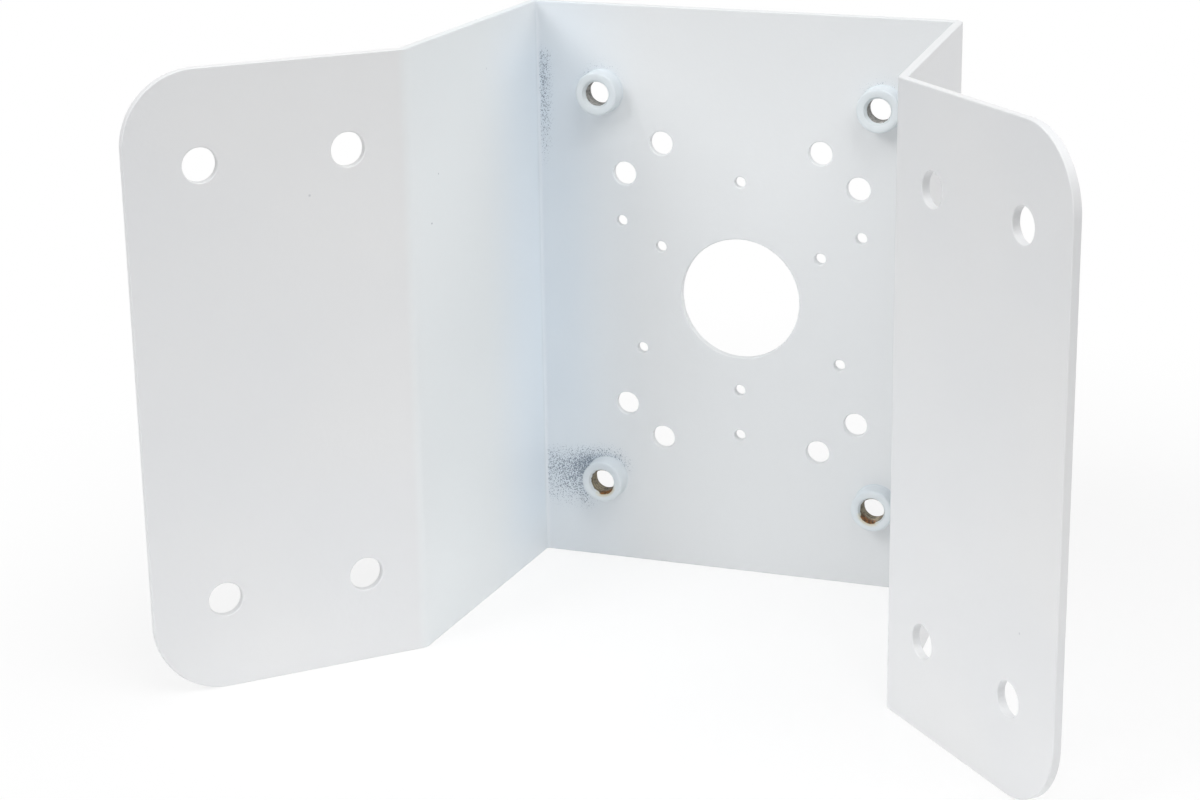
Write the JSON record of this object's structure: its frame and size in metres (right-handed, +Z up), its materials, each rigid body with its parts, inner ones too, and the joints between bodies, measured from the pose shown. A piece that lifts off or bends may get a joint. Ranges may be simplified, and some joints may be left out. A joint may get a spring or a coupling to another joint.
{
  "type": "camera corner mount bracket",
  "caption": "Outside corner mount bracket for a security camera: folded white-coated steel sheet with angled wall flanges, cable hole, bolt hole patterns and threaded clinch nuts.",
  "frame": {"origin": "centre of the cable hole, on the seat's outer face, where the camera sits", "axes": "+Z up along the folds, +Y out of the building's corner through the seat, +X to the right for someone who looks at the wall side"},
  "size_m": [0.245, 0.1393, 0.17],
  "materials": {
    "coated_sheet": "white powder coat, fine orange peel, semi-matt",
    "coated_nut": "white powder coat outside, bare steel thread"
  },
  "bodies": {
    "root": {"bracket": "coated_sheet", "clinch_nuts": "coated_nut"}
  },
  "joints": []
}
